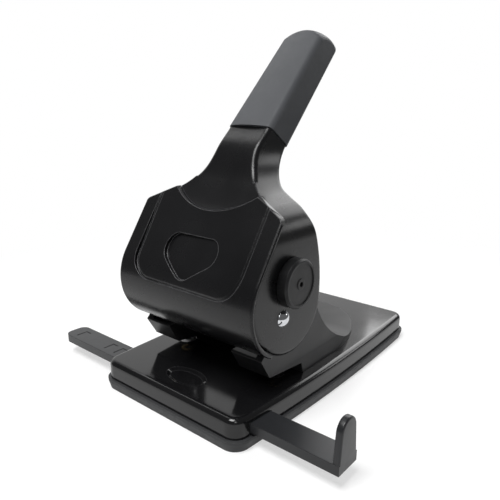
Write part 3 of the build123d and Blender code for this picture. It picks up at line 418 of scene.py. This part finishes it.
def coil_line(hand, low, high):
    """Round wire wound between two corners of a box, with its end turns closer together."""
    centre = (low + high) / 2
    radius = (high.x - low.x - SPRING_WIRE) / 2
    bottom, top = low.z + SPRING_WIRE / 2, high.z - SPRING_WIRE / 2
    curve = bpy.data.curves.new(f"{hand}_coil_line", "CURVE")
    curve.dimensions = "3D"
    curve.bevel_depth = SPRING_WIRE / 2
    curve.bevel_resolution = SPRING_WIRE_ROUNDS
    curve.use_fill_caps = True
    count = SPRING_TURNS * SPRING_STEPS
    line = curve.splines.new("POLY")
    line.points.add(count)
    for step, point in enumerate(line.points):
        angle = 2 * math.pi * step / SPRING_STEPS
        share = step / count
        eased = share - SPRING_END_EASE * math.sin(4 * math.pi * share)
        x = centre.x + radius * math.cos(angle)
        y = centre.y + radius * math.sin(angle)
        point.co = (x, y, bottom + (top - bottom) * eased, 1.0)
    carrier = bpy.data.objects.new(f"{hand}_coil_line", curve)
    bpy.context.scene.collection.objects.link(carrier)
    return carrier


def coil(hand, steel):
    """Return spring, wound as round wire in the solid spring's box."""
    node = f"{hand}_return_spring"
    low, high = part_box(node)
    carrier = coil_line(hand, low, high)
    graph = bpy.context.evaluated_depsgraph_get()
    work = bmesh.new()
    work.from_mesh(bpy.data.meshes.new_from_object(carrier.evaluated_get(graph)))
    bpy.data.objects.remove(carrier)
    for face in work.faces:
        face.smooth = True
    piece = mesh_piece(f"{hand}_coil", work, steel, "base")
    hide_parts(node)
    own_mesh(piece)


def bar_top():
    """Height of the guide's flat top, away from its upright stop."""
    low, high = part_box("guide_rule")
    middle = (low.x + high.x) / 2
    return max(v.co.z for v in nodes["guide_rule"].data.vertices if v.co.x < middle)


def guide_bar(finish):
    """The guide, with its stop's sides straighter and its top rounder than in the solid, as photographed."""
    low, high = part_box("guide_rule")
    middle, half = (low.y + high.y) / 2, (high.y - low.y) / 2
    foot = bar_top()
    cad_crown, crown = high.z - STOP_CAD_ROUND, high.z - STOP_ROUND
    source = nodes["guide_rule"].data.copy()
    source.attributes.remove(source.attributes["custom_normal"])
    work = bmesh.new()
    work.from_mesh(source)
    bpy.data.meshes.remove(source)
    bmesh.ops.remove_doubles(work, verts=work.verts, dist=WELD)
    for vertex in work.verts:
        rise = (vertex.co.z - foot) / (cad_crown - foot)
        taper = min((vertex.co.z - low.z) / (cad_crown - low.z), 1.0)
        was = half + (STOP_CAD_ROUND - half) * taper
        side = vertex.co.y - middle
        at_end = rise > -STOP_FOOT_SLACK and vertex.co.x > high.x - STOP_DEPTH
        if not at_end or abs(side) >= was + STOP_SIDE_SLACK:
            continue
        now = STOP_FOOT + (STOP_ROUND - STOP_FOOT) * min(rise, 1.0)
        vertex.co.y = middle + side * now / was
        if rise < 1:
            vertex.co.z = foot + (crown - foot) * rise
        else:
            vertex.co.z = crown + (vertex.co.z - cad_crown) * STOP_ROUND / STOP_CAD_ROUND
    for face in work.faces:
        face.smooth = True
    piece = mesh_piece("guide_bar", work, finish, "guide")
    piece.data.set_sharp_from_angle(angle=math.radians(STOP_SHARP_ANGLE))
    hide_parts("guide_rule")


def angle_mark(work, x, back, z):
    """Thin flat angle lying on a surface at height z, with its corner at the back left."""
    in_x, in_y = x + MARK_WIDTH, back - MARK_WIDTH
    far_x, far_y = x + MARK_LEG, back - MARK_REACH
    corners = ((x, back), (x, far_y), (in_x, far_y), (in_x, in_y), (far_x, in_y), (far_x, back))
    lower = [work.verts.new((*corner, z)) for corner in corners]
    upper = [work.verts.new((*corner, z + MARK_HEIGHT)) for corner in corners]
    work.faces.new(lower[::-1])
    work.faces.new(upper)
    for here in range(len(corners)):
        after = (here + 1) % len(corners)
        work.faces.new((lower[here], lower[after], upper[after], upper[here]))


def size_marks(dark):
    """Angle marks for the paper sizes, near the left end of the guide, as thin raised angles whose darker colour
    is painted shade of grooves.
    """
    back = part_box("guide_rule")[1].y - MARK_EDGE
    top = bar_top()
    work = bmesh.new()
    for x in MARK_X:
        angle_mark(work, x, back, top)
    mesh_piece("size_marks", work, dark, "guide")


def cover_outward(y, z):
    """At a point of the cover's side view, its reach out from the nose's axis, and the way out of the face."""
    lean = math.radians(SHIELD_LEAN)
    flat_out = Vector((0.0, -math.cos(lean), math.sin(lean)))
    flat_up = Vector((0.0, math.sin(lean), math.cos(lean)))
    from_axis = Vector((0.0, y - NOSE_AXIS[0], z - NOSE_AXIS[1]))
    if from_axis.dot(flat_up) > 0:
        return from_axis.dot(flat_out), flat_out
    return from_axis.length, from_axis.normalized()


def panel_inset(x, z):
    """How far inside the panel's outline a point of the front view lies."""
    across, below = abs(x) - PANEL_HALF, PANEL_LOW - z
    corner_x, corner_z = across + PANEL_CORNER, below + PANEL_CORNER
    if corner_x > 0 and corner_z > 0:
        return PANEL_CORNER - math.hypot(corner_x, corner_z)
    return -max(across, below)


def panel_left(x, z):
    """How far a point on the panel's edge faces left: 1 on its left side, 0 along the bottom and right."""
    corner_x = PANEL_CORNER - PANEL_HALF - x
    corner_z = PANEL_LOW + PANEL_CORNER - z
    return corner_x / math.hypot(corner_x, max(corner_z, 0.0)) if corner_x > 0 else 0.0


def cover_layer(point):
    """Which surface of the cover a point lies on, its depth there and the way out of the face."""
    reach, outward = cover_outward(point.y, point.z)
    depth = NOSE_RADIUS - reach
    inset = panel_inset(point.x, point.z)
    if abs(depth) < NEAR and inset > GROOVE_WIDTH - NEAR:
        return "panel", depth, outward
    if abs(depth - GROOVE_DEPTH) < NEAR and inset > -NEAR:
        return "groove", depth, outward
    if abs(depth - RECESS_DEPTH) < NEAR and inset > GROOVE_WIDTH:
        return "recess", depth, outward
    return "rest", depth, outward


def sunk_cover(finish):
    """The front cover, with its panel groove and its recess deepest at the left, as photographed."""
    mesh = nodes["front_cover"].data.copy()
    mesh.name = "sunk_cover"
    normals = [corner.vector.copy() for corner in mesh.corner_normals]
    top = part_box("front_cover")[1].z
    recess_half = max(v.co.x for v in mesh.vertices if cover_layer(v.co)[0] == "recess")
    layers = []
    for vertex in mesh.vertices:
        layer, depth, outward = cover_layer(vertex.co)
        layers.append(layer)
        x, inset = vertex.co.x, panel_inset(vertex.co.x, vertex.co.z)
        fall = min((top - vertex.co.z) / (top - PANEL_LOW - PANEL_CORNER), 1.0)
        left = panel_left(x, vertex.co.z) * fall
        inner = inset > GROOVE_WIDTH - NEAR
        if layer in ("panel", "groove") and inner and inset < GROOVE_WIDTH + NEAR:
            vertex.co.x += GROOVE_WIDENED * left
        if layer == "groove":
            shallow = GROOVE_STEP if inner else GROOVE_SHALLOW
            vertex.co -= outward * (shallow + (GROOVE_DEEP - shallow) * left - depth)
        if layer == "recess":
            share = (recess_half - x) / (2 * recess_half)
            floor_depth = RECESS_SHALLOW + (RECESS_DEEP - RECESS_SHALLOW) * share
            vertex.co -= outward * (floor_depth - depth)
    mesh.update()

    # The walls and the groove's floor have turned, so their shading follows their new faces
    for polygon in mesh.polygons:
        met = {layers[index] for index in polygon.vertices}
        if len(met) > 1 or "groove" in met:
            for loop in polygon.loop_indices:
                normals[loop] = polygon.normal.copy()
    mesh.normals_split_custom_set(normals)
    piece = riding_piece(mesh, finish, "lever")
    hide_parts("front_cover")


def camera():
    """Camera at the photograph's viewpoint."""
    data = bpy.data.cameras.new("camera")
    data.sensor_width = SENSOR_MM
    data.lens = SENSOR_MM * FOCAL_PIXELS / PHOTO_PIXELS
    data.clip_start, data.clip_end = CAMERA_CLIP
    view = bpy.data.objects.new("camera", data)
    bpy.context.scene.collection.objects.link(view)
    turn = Matrix.Rotation(math.radians(CAMERA_AZIMUTH), 4, "Z")
    tilt = Matrix.Rotation(math.radians(90 - CAMERA_PITCH), 4, "X")
    roll = Matrix.Rotation(math.radians(CAMERA_ROLL), 4, "Z")
    view.matrix_world = Matrix.Translation(CAMERA_PLACE) @ turn @ tilt @ roll
    bpy.context.scene.camera = view


def any_ray(tree, *kinds):
    """1 for the given kinds of ray, otherwise 0."""
    path = tree.nodes.new("ShaderNodeLightPath")
    seen = path.outputs[kinds[0]]
    for kind in kinds[1:]:
        total = tree.nodes.new("ShaderNodeMath")
        total.operation = "MAXIMUM"
        tree.links.new(seen, total.inputs[0])
        tree.links.new(path.outputs[kind], total.inputs[1])
        seen = total.outputs["Value"]
    return seen


def mixed(tree, factor, first, second):
    """Shader between two others by a factor from 0 to 1."""
    mix = tree.nodes.new("ShaderNodeMixShader")
    tree.links.new(factor, mix.inputs["Fac"])
    tree.links.new(first.outputs[0], mix.inputs[1])
    tree.links.new(second.outputs[0], mix.inputs[2])
    return mix


def floor_white():
    """White that keeps the object's shadow near it and fades to plain white further out."""
    material = bpy.data.materials.new("white_floor")
    material.use_nodes = True
    tree = material.node_tree
    tree.nodes.clear()
    matt = add(tree, "ShaderNodeBsdfDiffuse", Color=FLOOR_COLOUR)
    lift = add(tree, "ShaderNodeEmission", Color=WHITE, Strength=FLOOR_LIFT)
    lifted = tree.nodes.new("ShaderNodeAddShader")
    tree.links.new(matt.outputs[0], lifted.inputs[0])
    tree.links.new(lift.outputs[0], lifted.inputs[1])
    white = add(tree, "ShaderNodeEmission", Color=WHITE, Strength=1.0)
    length = tree.nodes.new("ShaderNodeVectorMath")
    length.operation = "LENGTH"
    tree.links.new(place(tree), length.inputs[0])
    far = spread(tree, length.outputs["Value"], 0.0, 1.0, FLOOR_NEAR, FLOOR_FAR)
    shown = mixed(tree, far, lifted, white)
    seen = any_ray(tree, "Is Camera Ray", "Is Glossy Ray", "Is Transmission Ray")
    output = tree.nodes.new("ShaderNodeOutputMaterial")
    tree.links.new(mixed(tree, seen, matt, shown).outputs[0], output.inputs["Surface"])
    return material


def floor():
    """White table top under the tray, which goes down with it when the tray comes off."""
    work = bmesh.new()
    bmesh.ops.create_grid(work, x_segments=1, y_segments=1, size=FLOOR_HALF)
    mesh = bpy.data.meshes.new("floor")
    work.to_mesh(mesh)
    work.free()
    mesh.materials.append(floor_white())
    plane = bpy.data.objects.new("floor", mesh)
    bpy.context.scene.collection.objects.link(plane)
    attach(plane, "tray")


def world():
    """White to the eye; in reflections a white wall behind on the left and a dimmer room; soft light all round."""
    bpy.context.scene.world = bpy.data.worlds.new("studio")
    bpy.context.scene.world.use_nodes = True
    tree = bpy.context.scene.world.node_tree
    tree.nodes.clear()
    along = tree.nodes.new("ShaderNodeVectorMath")
    along.operation = "DOT_PRODUCT"
    along.inputs[1].default_value = WALL_SIDE
    direction = tree.nodes.new("ShaderNodeTexCoord").outputs["Generated"]
    tree.links.new(direction, along.inputs[0])
    walls = add(tree, "ShaderNodeBackground", Color=WHITE)
    level = spread(tree, along.outputs["Value"], WALL_DIM, 1.0, WALL_START, WALL_END)
    tree.links.new(level, walls.inputs["Strength"])
    white = add(tree, "ShaderNodeBackground", Color=WHITE, Strength=1.0)
    ambient = add(tree, "ShaderNodeBackground", Color=WHITE, Strength=AMBIENT)
    in_mirror = any_ray(tree, "Is Glossy Ray", "Is Transmission Ray")
    mirrored = mixed(tree, in_mirror, ambient, walls)
    shown = mixed(tree, any_ray(tree, "Is Camera Ray"), mirrored, white)
    output = tree.nodes.new("ShaderNodeOutputWorld")
    tree.links.new(shown.outputs[0], output.inputs["Surface"])


def softbox(name, place_at, look_at, width, height, power):
    """Rectangular studio lamp aimed at a point."""
    data = bpy.data.lights.new(name, "AREA")
    data.shape = "RECTANGLE"
    data.size, data.size_y = width, height
    data.energy = power
    lamp = bpy.data.objects.new(name, data)
    lamp.location = place_at
    lamp.rotation_mode = "QUATERNION"
    lamp.rotation_quaternion = (Vector(look_at) - Vector(place_at)).to_track_quat("-Z", "Y")
    bpy.context.scene.collection.objects.link(lamp)


def lights():
    """Key from above the front, soft light from the upper left, an edge light and two lights from behind."""
    middle = ((cad_low + cad_high) / 2).to_tuple()
    for name, (place_at, width, height, power) in LAMPS.items():
        softbox(name, place_at, middle, width, height, power)


finishes = {**painted(), **moulded(), **bare()}
dress(finishes)
for hand in ("left", "right"):
    coil(hand, finishes["steel"])
guide_bar(finishes["guide"])
sunk_cover(finishes["cover"])
size_marks(finishes["mark"])
camera()
floor()
world()
lights()
bpy.context.scene.view_settings.view_transform = "Standard"
